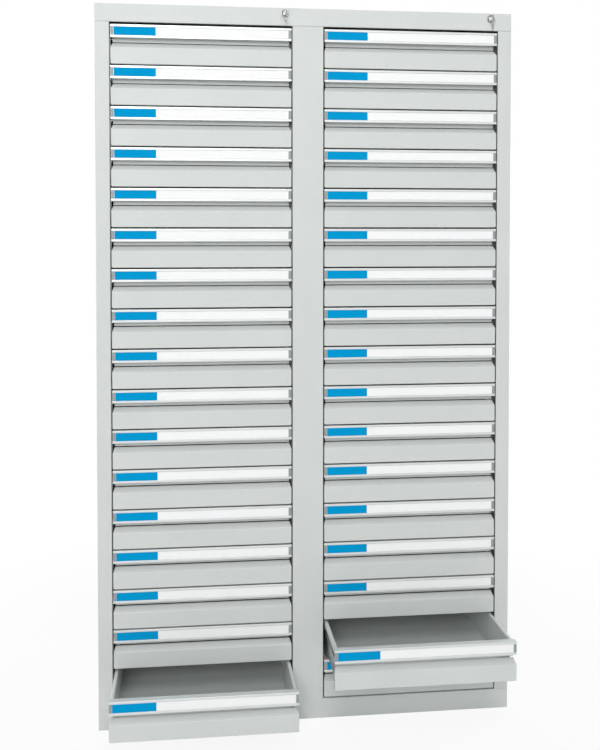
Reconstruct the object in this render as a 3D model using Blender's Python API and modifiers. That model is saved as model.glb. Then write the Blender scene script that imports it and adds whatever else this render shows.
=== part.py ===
# Industrial drawer cabinet: two columns of shallow drawers in a sheet steel carcass,
# each column on ball-bearing slides and locked by one bar behind its right-hand post.
# Lengths are in metres and +Z is up. The origin is on the floor, under the middle of
# the carcass. The fronts face -Y, and a depth is counted back from the front face.

import math

import bmesh
import bpy
from mathutils import Matrix, Vector

# Layout of the front
DRAWERS_IN_COLUMN = 17
DRAWER_PITCH = 0.100
FRONT_GAP = 0.0036
SIDE_GAP = 0.0028
TOP_GAP = 0.006
PLINTH_HEIGHT = 0.050
HEADER_HEIGHT = 0.044
PILLAR_WIDTH = 0.035
MULLION_WIDTH = 0.078
OPENING_WIDTH = 0.451
CABINET_DEPTH = 0.600

# Which drawers stand open, and how far
LEFT_OPEN_DRAWER = 17
LEFT_OPENING = 0.168
RIGHT_OPEN_DRAWER = 16
RIGHT_OPENING = 0.180

# Clearances and cutting
SEAT = 0.0003
RUNNING_GAP = 0.0007
OVERRUN = 0.002
FUSE = 0.0002
WELD = 0.00001

# Sheet work of the carcass
SHEET = 0.0012
POST_RETURN = 0.0257
REAR_FLANGE = 0.035
PARTITION_FLANGE = 0.020
PAN_FLANGE = 0.020
FLOOR_RAIL_WIDTH = 0.060
FLOOR_RAIL_SETBACK = 0.010

# Drawer front and its grip rail
FACE_HEIGHT = 0.0405
CHAMFER_HEIGHT = 0.013
RECESS_DEPTH = 0.017
FRONT_RETURN = 0.010
RAIL_HEIGHT = 0.032
RAIL_LIP = 0.0057
RAIL_WALL = 0.0032
RAIL_TOP = 0.0015
CHANNEL_DEPTH = 0.0018
LABEL_THICKNESS = 0.0008
END_CAP_WIDTH = 0.0075
END_CAP_SETBACK = 0.0005

# Drawer tray
TRAY_SHEET = 0.001
TRAY_FLOOR = 0.010
TRAY_DROP = 0.0036
TRAY_LENGTH = 0.540
TRAY_FLANGE = 0.008
TRAY_LIP = 0.012

# Ball-bearing slides
SLIDE_WIDTH = 0.013
SLIDE_HEIGHT = 0.045
SLIDE_BOTTOM = 0.020
SLIDE_LENGTH = 0.500
SLIDE_SETBACK = 0.030
SLIDE_SHEET = 0.0012
INNER_SETBACK = 0.038
INNER_LENGTH = 0.490
INNER_FLANGE = 0.0057
INNER_SIDE_GAP = 0.001
UPRIGHT_WIDTH = 0.030

# Central lock
LOCK_FROM_EDGE = 0.0195
LOCK_FROM_TOP = 0.014
HOUSING_RADIUS = 0.0092
HEAD_RADIUS = 0.0105
HEAD_THICKNESS = 0.0025
HOUSING_LENGTH = 0.021
PLUG_RADIUS = 0.0067
PLUG_PROUD = 0.0003
CAM_RADIUS = 0.010
CAM_TURN = math.radians(90)
CAM_WIDTH = 0.007
CAM_THICKNESS = 0.003
CAM_GAP = 0.0005
PIN_RADIUS = 0.002
PIN_END = 0.0015
SLOT_PLAY = 0.00065
SLOT_RIM = 0.002
BAR_THICKNESS = 0.002
BAR_WIDTH = 0.0128
BAR_FOOT = 0.012
TOOTH_HEIGHT = 0.010
STUD_RADIUS = 0.003
STUD_HEIGHT = 0.073
STUD_SETBACK = 0.0325

# Keys and ring
KEY_THICKNESS = 0.0022
BLADE_HEIGHT = 0.008
BLADE_LENGTH = 0.0177
BLADE_PROUD = 0.006
BOW_RADIUS = 0.0075
EYE_RADIUS = 0.003
EYE_OFFSET = 0.002
BIT_DEPTH = 0.0016
BIT_DEPTH_SHARES = (0.4, 0.9, 0.2, 1.0, 0.6)
RING_RADIUS = 0.0065
RING_WIRE = 0.0007
SPARE_BOW_RADIUS = 0.006
SPARE_BLADE_HEIGHT = 0.005
SPARE_LENGTH = 0.0215

# Facets of round pieces
ROUND_STEPS = 20
SMALL_STEPS = 8
STUD_STEPS = 6
RING_STEPS = 16
WIRE_STEPS = 6
SMOOTH_ANGLE = math.radians(35)

# Derived sizes
COLUMN_HEIGHT = DRAWERS_IN_COLUMN * DRAWER_PITCH
HEADER_BOTTOM = PLINTH_HEIGHT + COLUMN_HEIGHT + TOP_GAP
CABINET_HEIGHT = HEADER_BOTTOM + HEADER_HEIGHT
CABINET_WIDTH = 2 * PILLAR_WIDTH + 2 * OPENING_WIDTH + MULLION_WIDTH
HALF_WIDTH = CABINET_WIDTH / 2
HALF_OPENING = OPENING_WIDTH / 2
COLUMN_X = (MULLION_WIDTH + OPENING_WIDTH) / 2
FRONT_Y = -CABINET_DEPTH / 2
FRONT_HEIGHT = DRAWER_PITCH - FRONT_GAP
FRONT_HALF = HALF_OPENING - SIDE_GAP
FRONT_DEPTH = RECESS_DEPTH + SHEET
RAIL_BOTTOM = FRONT_HEIGHT - RAIL_HEIGHT
TRAY_HALF = HALF_OPENING - SLIDE_WIDTH
TRAY_TOP = FRONT_HEIGHT - TRAY_DROP
LIP_OUTER = TRAY_HALF + TRAY_FLANGE
BAR_FRONT = POST_RETURN + SEAT
UPRIGHT_FRONT = BAR_FRONT + BAR_THICKNESS + SEAT
BAR_INNER = HALF_OPENING - SEAT
STUD_END = BAR_INNER - RUNNING_GAP
TOOTH_TIP = LIP_OUTER + RUNNING_GAP
LOCK_X = HALF_OPENING - LOCK_FROM_EDGE
LOCK_Z = CABINET_HEIGHT - LOCK_FROM_TOP
LOCK_TRAVEL = 2 * CAM_RADIUS * math.sin(CAM_TURN / 2)
EYE_DEPTH = HEAD_THICKNESS + BLADE_PROUD + BOW_RADIUS + EYE_OFFSET
RING_TOP = EYE_RADIUS - RING_WIRE - SEAT


# Materials

def material(name, colour, roughness, metallic):
    made = bpy.data.materials.new(name)
    made.use_nodes = True
    shader = made.node_tree.nodes["Principled BSDF"]
    shader.inputs["Base Color"].default_value = (*colour, 1.0)
    shader.inputs["Roughness"].default_value = roughness
    shader.inputs["Metallic"].default_value = metallic
    made.diffuse_color = (*colour, 1.0)
    return made


def grey_paint():
    return material("grey_powder_coat", (0.74, 0.76, 0.75), 0.45, 0.0)


def rail_aluminium():
    return material("rail_aluminium", (0.86, 0.87, 0.87), 0.35, 0.6)


def label_card():
    return material("label_card", (0.93, 0.94, 0.94), 0.5, 0.0)


def zinc_steel():
    return material("zinc_steel", (0.55, 0.56, 0.56), 0.35, 1.0)


def lock_chrome():
    return material("lock_chrome", (0.72, 0.72, 0.71), 0.18, 1.0)


def key_nickel():
    return material("key_nickel", (0.66, 0.65, 0.62), 0.28, 1.0)


# Meshes

def link(name, data, group):
    made = bpy.data.objects.new(name, data)
    group.objects.link(made)
    return made


def evaluated_mesh(item):
    view = bpy.context.evaluated_depsgraph_get()
    return bpy.data.meshes.new_from_object(item.evaluated_get(view))


def tidy_mesh(mesh):
    work = bmesh.new()
    work.from_mesh(mesh)
    bmesh.ops.remove_doubles(work, verts=work.verts, dist=WELD)
    bmesh.ops.recalc_face_normals(work, faces=work.faces)
    work.to_mesh(mesh)
    work.free()
    return mesh


def flat_outline(name, loops, thickness):
    # A flat outline, with any holes as further loops, extruded evenly about its plane
    curve = bpy.data.curves.new(name, "CURVE")
    curve.dimensions = "2D"
    curve.fill_mode = "BOTH"
    curve.extrude = thickness / 2
    for loop in loops:
        spline = curve.splines.new("POLY")
        spline.points.add(len(loop) - 1)
        for point, (across, up) in zip(spline.points, loop):
            point.co = (across, up, 0, 1)
        spline.use_cyclic_u = True
    guide = link(name, curve, bpy.context.scene.collection)
    mesh = evaluated_mesh(guide)
    bpy.data.objects.remove(guide)
    bpy.data.curves.remove(curve)
    return tidy_mesh(mesh)


PLANES = {
    "X": Matrix(((0, 0, 1, 0), (1, 0, 0, 0), (0, 1, 0, 0), (0, 0, 0, 1))),
    "Y": Matrix(((1, 0, 0, 0), (0, 0, -1, 0), (0, 1, 0, 0), (0, 0, 0, 1))),
    "Z": Matrix.Identity(4),
}


def prism(name, axis, start, end, *loops):
    # Outlines are (Y, Z) along X, (X, Z) along Y and (X, Y) along Z
    mesh = flat_outline(name, loops, end - start)
    middle = Vector([(start + end) / 2 if letter == axis else 0 for letter in "XYZ"])
    mesh.transform(Matrix.Translation(middle) @ PLANES[axis])
    return mesh


def block(name, low, high):
    (left, front, bottom), (right, back, top) = low, high
    corners = ((left, front), (right, front), (right, back), (left, back))
    return prism(name, "Z", bottom, top, corners)


def circle(radius, centre=(0, 0), steps=ROUND_STEPS):
    turns = [math.tau * (step + 0.5) / steps for step in range(steps)]
    return [(centre[0] + radius * math.cos(turn), centre[1] + radius * math.sin(turn)) for turn in turns]


def gathered(name, meshes):
    work = bmesh.new()
    for mesh in meshes:
        work.from_mesh(mesh)
    made = bpy.data.meshes.new(name)
    work.to_mesh(made)
    work.free()
    return made


def combined(name, base, tool, operation):
    group = bpy.data.collections["cutters"]
    holder = link(name, base, group)
    cutter = link(name + "_tool", tool, group)
    change = holder.modifiers.new(operation.lower(), "BOOLEAN")
    change.operation = operation
    change.object = cutter
    mesh = evaluated_mesh(holder)
    bpy.data.objects.remove(holder)
    bpy.data.objects.remove(cutter)
    mesh.name = name
    return mesh


def joined(name, *meshes):
    result = meshes[0]
    for mesh in meshes[1:]:
        result = combined(name, result, mesh, "UNION")
    return result


def cut(name, base, tool):
    return combined(name, base, tool, "DIFFERENCE")


def rounded(mesh):
    mesh.shade_smooth()
    mesh.set_sharp_from_angle(angle=SMOOTH_ANGLE)
    return mesh


def placed(name, mesh, finish, at=(0, 0, 0), parent=None):
    made = link(name, mesh, bpy.data.collections["drawer_cabinet"])
    if finish.name not in mesh.materials:
        mesh.materials.clear()
        mesh.materials.append(finish)
    made.location = at
    made.parent = parent
    return made


def pivot(name, at, parent=None):
    made = link(name, None, bpy.data.collections["drawer_cabinet"])
    made.location = at
    made.parent = parent
    return made


def box_surface(low, high):
    work = bmesh.new()
    bmesh.ops.create_cube(work, size=1)
    low, high = Vector(low), Vector(high)
    bmesh.ops.scale(work, vec=high - low, verts=work.verts)
    bmesh.ops.translate(work, vec=(high + low) / 2, verts=work.verts)
    return work


def folded_sheet(name, work, thickness):
    # Gives an open surface its sheet thickness, on its inner side
    mesh = bpy.data.meshes.new(name)
    work.to_mesh(mesh)
    work.free()
    guide = link(name, mesh, bpy.data.collections["cutters"])
    wall = guide.modifiers.new("sheet", "SOLIDIFY")
    wall.thickness = thickness
    wall.offset = -1
    wall.use_even_offset = True
    wall.use_quality_normals = True
    made = evaluated_mesh(guide)
    bpy.data.objects.remove(guide)
    return made


# Carcass

def pan(name, low, high):
    # A folded pan: a full top, four skirts and an inward flange round the open underside
    work = box_surface(low, high)
    under = min(work.faces, key=lambda face: face.calc_center_median().z)
    bmesh.ops.inset_region(work, faces=[under], thickness=PAN_FLANGE)
    bmesh.ops.delete(work, geom=[under], context="FACES")
    return folded_sheet(name, work, SHEET)


def side_panel(side):
    # Plan: wall, front post with its return, and a rear flange that the back sheet lies on
    wall = HALF_WIDTH - SHEET
    post = HALF_WIDTH - PILLAR_WIDTH
    rear = CABINET_DEPTH - SHEET
    plan = [
        (post, 0), (HALF_WIDTH, 0), (HALF_WIDTH, CABINET_DEPTH),
        (HALF_WIDTH - REAR_FLANGE, CABINET_DEPTH), (HALF_WIDTH - REAR_FLANGE, rear), (wall, rear),
        (wall, SHEET), (post + SHEET, SHEET), (post + SHEET, POST_RETURN), (post, POST_RETURN),
    ]
    plan = [(side * across, FRONT_Y + back) for across, back in plan]
    return prism("side_panel", "Z", PLINTH_HEIGHT + SEAT, HEADER_BOTTOM - SEAT, plan)


def centre_partition():
    # Plan: the middle post is a channel, with one sheet running back to a rear flange
    half_post = MULLION_WIDTH / 2
    half_sheet = SHEET / 2
    end = CABINET_DEPTH - 2 * SHEET - 2 * SEAT
    right = [
        (half_post, 0), (half_post, POST_RETURN), (half_post - SHEET, POST_RETURN),
        (half_post - SHEET, SHEET), (half_sheet, SHEET), (half_sheet, end - SHEET),
        (PARTITION_FLANGE, end - SHEET), (PARTITION_FLANGE, end),
    ]
    left = [(-across, back) for across, back in reversed(right)]
    plan = [(across, FRONT_Y + back) for across, back in right + left]
    return prism("centre_partition", "Z", PLINTH_HEIGHT + SEAT, HEADER_BOTTOM - SEAT, plan)


def back_panel():
    half = HALF_WIDTH - SHEET - SEAT
    back = FRONT_Y + CABINET_DEPTH - SHEET - SEAT
    low = (-half, back - SHEET, PLINTH_HEIGHT + SEAT)
    return block("back_panel", low, (half, back, HEADER_BOTTOM - SEAT))


def top_panel():
    low = (-HALF_WIDTH, FRONT_Y, HEADER_BOTTOM)
    shell = pan("top_panel", low, (HALF_WIDTH, -FRONT_Y, CABINET_HEIGHT))
    holes = []
    for column in (-1, 1):
        ring = circle(HOUSING_RADIUS + SEAT, (column * COLUMN_X + LOCK_X, LOCK_Z))
        holes.append(prism("hole", "Y", FRONT_Y - OVERRUN, FRONT_Y + SHEET + OVERRUN, ring))
    return cut("top_panel", shell, gathered("lock_holes", holes))


def base_plinth():
    # The floor sheet and its skirts, with a channel under the partition down to the floor
    low = (-HALF_WIDTH, FRONT_Y, 0)
    shell = pan("base_plinth", low, (HALF_WIDTH, -FRONT_Y, PLINTH_HEIGHT))
    half = FLOOR_RAIL_WIDTH / 2
    top = PLINTH_HEIGHT - SHEET / 2
    section = [
        (-half, 0), (half, 0), (half, top), (half - SHEET, top), (half - SHEET, SHEET),
        (SHEET - half, SHEET), (SHEET - half, top), (-half, top),
    ]
    reach = -FRONT_Y - FLOOR_RAIL_SETBACK
    return joined("base_plinth", shell, prism("floor_rail", "Y", -reach, reach, section))


def drawer_bottom(number):
    return PLINTH_HEIGHT + FRONT_GAP + (DRAWERS_IN_COLUMN - number) * DRAWER_PITCH


def upright(side, wall, start):
    # A channel between the slides and the wall, in plan
    inner = HALF_OPENING
    plan = [
        (inner, 0), (wall, 0), (wall, UPRIGHT_WIDTH), (wall - SHEET, UPRIGHT_WIDTH),
        (wall - SHEET, SHEET), (inner + SHEET, SHEET), (inner + SHEET, UPRIGHT_WIDTH), (inner, UPRIGHT_WIDTH),
    ]
    plan = [(side * across, start + back) for across, back in plan]
    return prism("upright", "Z", PLINTH_HEIGHT + SEAT, HEADER_BOTTOM - SEAT, plan)


def outer_slide(side, bottom):
    # The fixed slide member, a channel that opens towards the drawer
    web = HALF_OPENING + FUSE
    lip = TRAY_HALF + INNER_SIDE_GAP
    low = bottom + SLIDE_BOTTOM
    top = low + SLIDE_HEIGHT
    section = [
        (web, low), (web, top), (lip, top), (lip, top - SLIDE_SHEET),
        (HALF_OPENING - SLIDE_SHEET, top - SLIDE_SHEET), (HALF_OPENING - SLIDE_SHEET, low + SLIDE_SHEET),
        (lip, low + SLIDE_SHEET), (lip, low),
    ]
    section = [(side * across, up) for across, up in section]
    return prism("outer_slide", "Y", SLIDE_SETBACK, SLIDE_SETBACK + SLIDE_LENGTH, section)


def runner_rack(side, wall):
    # Two uprights that carry the fixed slide member of every drawer on one side of a column
    rear = SLIDE_SETBACK + SLIDE_LENGTH - UPRIGHT_WIDTH
    posts = [upright(side, wall, start) for start in (UPRIGHT_FRONT, rear)]
    numbers = range(1, DRAWERS_IN_COLUMN + 1)
    slides = [outer_slide(side, drawer_bottom(number)) for number in numbers]
    return joined("runner_rack", gathered("posts", posts), gathered("slides", slides))


def build_carcass(paint, zinc):
    placed("side_panel_left", side_panel(-1), paint)
    placed("side_panel_right", side_panel(1), paint)
    placed("centre_partition", centre_partition(), paint)
    placed("back_panel", back_panel(), paint)
    placed("top_panel", top_panel(), paint)
    placed("base_plinth", base_plinth(), paint)
    outer_wall = HALF_OPENING + PILLAR_WIDTH - SHEET - SEAT
    inner_wall = HALF_OPENING + (MULLION_WIDTH - SHEET) / 2 - SEAT
    for column, column_name in ((-1, "left"), (1, "right")):
        for side, side_name in ((-1, "left"), (1, "right")):
            wall = outer_wall if column == side else inner_wall
            name = f"runner_rack_{column_name}_column_{side_name}"
            placed(name, runner_rack(side, wall), zinc, (column * COLUMN_X, FRONT_Y, 0))


# Drawers. Each is drawn closed, from its column's middle, the front face and its lower edge

def front_panel(top):
    # A folded front: face, chamfer, recess wall and closed ends, open to the tray behind
    ledge = FACE_HEIGHT + CHAMFER_HEIGHT
    section = [
        (0, 0), (0, FACE_HEIGHT), (RECESS_DEPTH, ledge), (RECESS_DEPTH, top),
        (FRONT_DEPTH, top), (FRONT_DEPTH, 0),
    ]
    slope = math.atan2(CHAMFER_HEIGHT, RECESS_DEPTH)
    drop = SHEET / math.cos(slope)
    crease = FACE_HEIGHT - drop + SHEET * math.tan(slope)
    hollow = [
        (SHEET, SHEET), (SHEET, crease), (RECESS_DEPTH, ledge - drop),
        (FRONT_DEPTH + OVERRUN, ledge - drop), (FRONT_DEPTH + OVERRUN, -OVERRUN),
        (FRONT_RETURN, -OVERRUN), (FRONT_RETURN, SHEET),
    ]
    solid = prism("front_panel", "X", -FRONT_HALF, FRONT_HALF, section)
    pocket = prism("pocket", "X", SHEET - FRONT_HALF, FRONT_HALF - SHEET, hollow)
    return cut("front_panel", solid, pocket)


def rail_section(channel):
    low = RAIL_BOTTOM + RAIL_LIP
    high = FRONT_HEIGHT - RAIL_LIP
    under = FRONT_HEIGHT - RAIL_TOP
    return [
        (0, RAIL_BOTTOM), (0, low), (channel, low), (channel, high), (0, high), (0, FRONT_HEIGHT),
        (FRONT_DEPTH, FRONT_HEIGHT), (FRONT_DEPTH, under), (RAIL_WALL, under), (RAIL_WALL, RAIL_BOTTOM),
    ]


def end_cap(side):
    outer = side * FRONT_HALF
    inner = side * (FRONT_HALF - END_CAP_WIDTH)
    low = (min(inner, outer), END_CAP_SETBACK, RAIL_BOTTOM + RAIL_LIP - FUSE)
    high = (max(inner, outer), CHANNEL_DEPTH + FUSE, FRONT_HEIGHT - RAIL_LIP + FUSE)
    return block("end_cap", low, high)


def grip_rail():
    # The extruded rail: two lips round the label channel, a top web and a cap at each end
    rail = prism("grip_rail", "X", -FRONT_HALF, FRONT_HALF, rail_section(CHANNEL_DEPTH))
    return joined("grip_rail", rail, gathered("end_caps", [end_cap(-1), end_cap(1)]))


def label_strip():
    half = FRONT_HALF - END_CAP_WIDTH - SEAT
    back = CHANNEL_DEPTH - SEAT
    low = (-half, back - LABEL_THICKNESS, RAIL_BOTTOM + RAIL_LIP + SEAT)
    return block("label_strip", low, (half, back, FRONT_HEIGHT - RAIL_LIP - SEAT))


def tray_shell(front):
    # An open box of thin sheet, with a flange and a turned-down lip along each side
    low = (-TRAY_HALF, front, TRAY_FLOOR)
    work = box_surface(low, (TRAY_HALF, front + TRAY_LENGTH, TRAY_TOP - TRAY_SHEET))
    lid = max(work.faces, key=lambda face: face.calc_center_median().z)
    bmesh.ops.delete(work, geom=[lid], context="FACES_ONLY")
    rims = [edge for edge in work.edges if edge.is_boundary]
    for side in (-1, 1):
        rim = max(rims, key=lambda edge: side * sum(vert.co.x for vert in edge.verts))
        for step in ((side * (TRAY_FLANGE - TRAY_SHEET), 0, 0), (0, 0, TRAY_SHEET - TRAY_LIP)):
            grown = bmesh.ops.extrude_edge_only(work, edges=[rim])["geom"]
            corners = [item for item in grown if isinstance(item, bmesh.types.BMVert)]
            bmesh.ops.translate(work, vec=step, verts=corners)
            rim = next(
                item for item in grown
                if isinstance(item, bmesh.types.BMEdge) and set(item.verts) == set(corners)
            )
    return folded_sheet("tray_shell", work, TRAY_SHEET)


def inner_slide(side):
    # The moving slide member, a channel on the tray wall that runs inside the fixed one
    low = SLIDE_BOTTOM + SLIDE_SHEET + SEAT
    top = SLIDE_BOTTOM + SLIDE_HEIGHT - SLIDE_SHEET - SEAT
    web = TRAY_HALF - TRAY_SHEET / 2
    face = TRAY_HALF + SLIDE_SHEET
    tip = TRAY_HALF + INNER_SIDE_GAP + INNER_FLANGE
    section = [
        (web, low), (tip, low), (tip, low + SLIDE_SHEET), (face, low + SLIDE_SHEET),
        (face, top - SLIDE_SHEET), (tip, top - SLIDE_SHEET), (tip, top), (web, top),
    ]
    section = [(side * across, up) for across, up in section]
    return prism("inner_slide", "Y", INNER_SETBACK, INNER_SETBACK + INNER_LENGTH, section)


def lock_stud():
    # The stud on the tray's right wall that the lock bar's tooth stops
    ring = circle(STUD_RADIUS, (STUD_SETBACK, STUD_HEIGHT), STUD_STEPS)
    return prism("lock_stud", "X", TRAY_HALF - TRAY_SHEET / 2, STUD_END, ring)


def drawer_tray(front):
    fittings = [inner_slide(-1), inner_slide(1), lock_stud()]
    return joined("drawer_tray", tray_shell(front), gathered("fittings", fittings))


def whole_drawer():
    # Tray, front and rail fused, with the label filling its channel
    tray = drawer_tray(FRONT_DEPTH - SHEET / 2)
    rail = prism("rail", "X", -FRONT_HALF, FRONT_HALF, rail_section(CHANNEL_DEPTH - LABEL_THICKNESS))
    return joined("whole_drawer", front_panel(FRONT_HEIGHT - RAIL_TOP + FUSE), rail, tray)


def open_drawer(column, number, opening, finishes):
    side = "left" if column < 0 else "right"
    tag = f"{side}_{number:02d}"
    at = (column * COLUMN_X, FRONT_Y - opening, drawer_bottom(number))
    slide = pivot(f"drawer_{tag}_slide", at)
    paint, rail, card = finishes
    placed(f"drawer_tray_{tag}", drawer_tray(FRONT_DEPTH + SEAT), paint, parent=slide)
    placed(f"drawer_front_{tag}", front_panel(FRONT_HEIGHT - RAIL_TOP - SEAT), paint, parent=slide)
    placed(f"grip_rail_{tag}", grip_rail(), rail, parent=slide)
    placed(f"label_strip_{tag}", label_strip(), card, parent=slide)


def build_drawers(paint, rail, card):
    closed = whole_drawer()
    openings = {(-1, LEFT_OPEN_DRAWER): LEFT_OPENING, (1, RIGHT_OPEN_DRAWER): RIGHT_OPENING}
    for column, side in ((-1, "left"), (1, "right")):
        for number in range(1, DRAWERS_IN_COLUMN + 1):
            if (column, number) in openings:
                open_drawer(column, number, openings[column, number], (paint, rail, card))
                continue
            at = (column * COLUMN_X, FRONT_Y, drawer_bottom(number))
            placed(f"drawer_{side}_{number:02d}", closed, paint, at)


# Central locks. Each is drawn from the axis of its cylinder at the front face

def lock_housing():
    # A turned sleeve with a head that seats on the header, bored for the plug
    bore = PLUG_RADIUS + SEAT
    profile = [
        (bore, HOUSING_LENGTH), (HOUSING_RADIUS, HOUSING_LENGTH), (HOUSING_RADIUS, -SEAT),
        (HEAD_RADIUS, -SEAT), (HEAD_RADIUS, -HEAD_THICKNESS), (bore, -HEAD_THICKNESS),
    ]
    mesh = bpy.data.meshes.new("lock_housing")
    points = [(across, back, 0) for across, back in profile]
    edges = [(step, (step + 1) % len(points)) for step in range(len(points))]
    mesh.from_pydata(points, edges, [])
    guide = link("lock_housing", mesh, bpy.data.collections["cutters"])
    turn = guide.modifiers.new("turned", "SCREW")
    turn.axis = "Y"
    turn.steps = ROUND_STEPS
    turn.render_steps = ROUND_STEPS
    turn.use_merge_vertices = True
    turn.merge_threshold = WELD
    made = tidy_mesh(evaluated_mesh(guide))
    bpy.data.objects.remove(guide)
    return rounded(made)


def cam_point(turn=0):
    angle = turn - CAM_TURN / 2
    return CAM_RADIUS * math.cos(angle), CAM_RADIUS * math.sin(angle)


def lock_plug():
    # The turning barrel, slotted for the key, with the cam arm and its pin behind
    face = -HEAD_THICKNESS - PLUG_PROUD
    cam_front = HOUSING_LENGTH + CAM_GAP
    cam_back = cam_front + CAM_THICKNESS
    barrel = prism("barrel", "Y", face, cam_front + FUSE, circle(PLUG_RADIUS))
    half_slot = KEY_THICKNESS / 2 + SEAT
    tall_slot = BLADE_HEIGHT / 2 + SEAT
    slot_end = BLADE_LENGTH + SEAT
    slot = block("slot", (-half_slot, face - OVERRUN, -tall_slot), (half_slot, slot_end, tall_slot))
    across, up = cam_point()
    steps = [math.pi * step / SMALL_STEPS for step in range(SMALL_STEPS + 1)]
    aim = math.atan2(up, across)
    half = CAM_WIDTH / 2
    tip = [(across + half * math.cos(aim - math.pi / 2 + step), up + half * math.sin(aim - math.pi / 2 + step))
           for step in steps]
    hub = [(half * math.cos(aim + math.pi / 2 + step), half * math.sin(aim + math.pi / 2 + step))
           for step in steps]
    arm = prism("arm", "Y", cam_front, cam_back, tip + hub)
    pin_end = BAR_FRONT + BAR_THICKNESS + PIN_END
    pin = prism("pin", "Y", cam_back - FUSE, pin_end, circle(PIN_RADIUS, (across, up), SMALL_STEPS))
    return rounded(joined("lock_plug", cut("barrel", barrel, slot), arm, pin))


def key_outline(bow_radius, blade_height, shoulder, tip):
    # A round bow from which a bitted blade runs out: along +X here, the bow's middle at 0
    half = blade_height / 2
    opening = math.asin(half / bow_radius)
    steps = range(RING_STEPS + 1)
    arc = [opening + (math.tau - 2 * opening) * step / RING_STEPS for step in steps]
    bow = [(bow_radius * math.cos(turn), bow_radius * math.sin(turn)) for turn in arc]
    count = len(BIT_DEPTH_SHARES)
    pitch = (tip - shoulder) / (count + 1)
    bits = [
        (shoulder + pitch * (place + 1), BIT_DEPTH * share * blade_height / BLADE_HEIGHT - half)
        for place, share in enumerate(BIT_DEPTH_SHARES)
    ]
    return bow + [(shoulder, -half)] + bits + [(tip, 0), (tip - half / 2, half)]


def key():
    # The key in the lock, its blade upright
    bow = -HEAD_THICKNESS - BLADE_PROUD - BOW_RADIUS
    shape = key_outline(BOW_RADIUS, BLADE_HEIGHT, BOW_RADIUS + BLADE_PROUD, BLADE_LENGTH - bow)
    loop = [(bow + along, up) for along, up in shape]
    eye = circle(EYE_RADIUS, (-EYE_DEPTH, 0), RING_STEPS)
    return rounded(prism("key", "X", -KEY_THICKNESS / 2, KEY_THICKNESS / 2, loop, eye))


def spare_key():
    # A split ring through the first key's eye, with a small second key hanging on it.
    # It is drawn from the top of the ring's wire
    bpy.ops.mesh.primitive_torus_add(
        major_segments=RING_STEPS, minor_segments=WIRE_STEPS,
        major_radius=RING_RADIUS, minor_radius=RING_WIRE,
    )
    guide = bpy.context.object
    ring = guide.data
    bpy.data.objects.remove(guide)
    ring.transform(Matrix.Translation((0, 0, -RING_RADIUS)) @ Matrix.Rotation(math.pi / 2, 4, "X"))
    eye = -2 * RING_RADIUS - EYE_RADIUS + RING_WIRE + FUSE
    shape = key_outline(SPARE_BOW_RADIUS, SPARE_BLADE_HEIGHT, SPARE_BOW_RADIUS, SPARE_LENGTH - SPARE_BOW_RADIUS)
    loop = [(up, eye - EYE_OFFSET / 2 - along) for along, up in shape]
    hole = circle(EYE_RADIUS, (0, eye), RING_STEPS)
    blank = prism("spare", "X", -KEY_THICKNESS / 2, KEY_THICKNESS / 2, loop, hole)
    return rounded(joined("spare_key", ring, blank))


def lock_bar():
    # A plate with one tooth a drawer and a slotted head for the cam's pin,
    # drawn from its column's middle at the front face, in the unlocked position
    outer = BAR_INNER + BAR_WIDTH
    across, up = cam_point()
    pin_height = LOCK_Z + up
    half_slot = PIN_RADIUS + SLOT_PLAY
    slot_left = LOCK_X + across - half_slot
    slot_right = LOCK_X + CAM_RADIUS + half_slot
    head_left = slot_left - SLOT_RIM
    head_low = pin_height - half_slot - SLOT_RIM
    head_top = pin_height + half_slot + SLOT_RIM
    tooth = drawer_bottom(DRAWERS_IN_COLUMN) + STUD_HEIGHT - LOCK_TRAVEL
    edge = [(outer, tooth - BAR_FOOT), (BAR_INNER, tooth - BAR_FOOT)]
    for place in range(DRAWERS_IN_COLUMN):
        low = tooth + place * DRAWER_PITCH - TOOTH_HEIGHT / 2
        high = low + TOOTH_HEIGHT
        edge += [(BAR_INNER, low), (TOOTH_TIP, low), (TOOTH_TIP, high), (BAR_INNER, high)]
    edge += [(BAR_INNER, head_low), (head_left, head_low), (head_left, head_top), (outer, head_top)]
    slot = [
        (slot_left, pin_height - half_slot), (slot_right, pin_height - half_slot),
        (slot_right, pin_height + half_slot), (slot_left, pin_height + half_slot),
    ]
    return prism("lock_bar", "Y", BAR_FRONT, BAR_FRONT + BAR_THICKNESS, edge, slot)


def build_locks(zinc, chrome, nickel):
    housing = lock_housing()
    plug = lock_plug()
    first_key = key()
    second_key = spare_key()
    bar = lock_bar()
    for column, side in ((-1, "left"), (1, "right")):
        axis = (column * COLUMN_X + LOCK_X, FRONT_Y, LOCK_Z)
        placed(f"lock_housing_{side}", housing, chrome, axis)
        turn = pivot(f"lock_{side}_turn", axis)
        placed(f"lock_plug_{side}", plug, chrome, parent=turn)
        placed(f"lock_key_{side}", first_key, nickel, parent=turn)
        eye = (0, -EYE_DEPTH, -RING_TOP)
        placed(f"spare_key_{side}", second_key, nickel, eye, turn)
        placed(f"lock_bar_{side}", bar, zinc, (column * COLUMN_X, FRONT_Y, 0))


def main():
    for item in list(bpy.data.objects):
        bpy.data.objects.remove(item, do_unlink=True)
    for name in ("drawer_cabinet", "cutters"):
        group = bpy.data.collections.new(name)
        bpy.context.scene.collection.children.link(group)
    paint = grey_paint()
    zinc = zinc_steel()
    build_carcass(paint, zinc)
    build_drawers(paint, rail_aluminium(), label_card())
    build_locks(zinc, lock_chrome(), key_nickel())


main()
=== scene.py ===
import math

import bmesh
import bpy
from mathutils import Matrix, Vector


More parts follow.
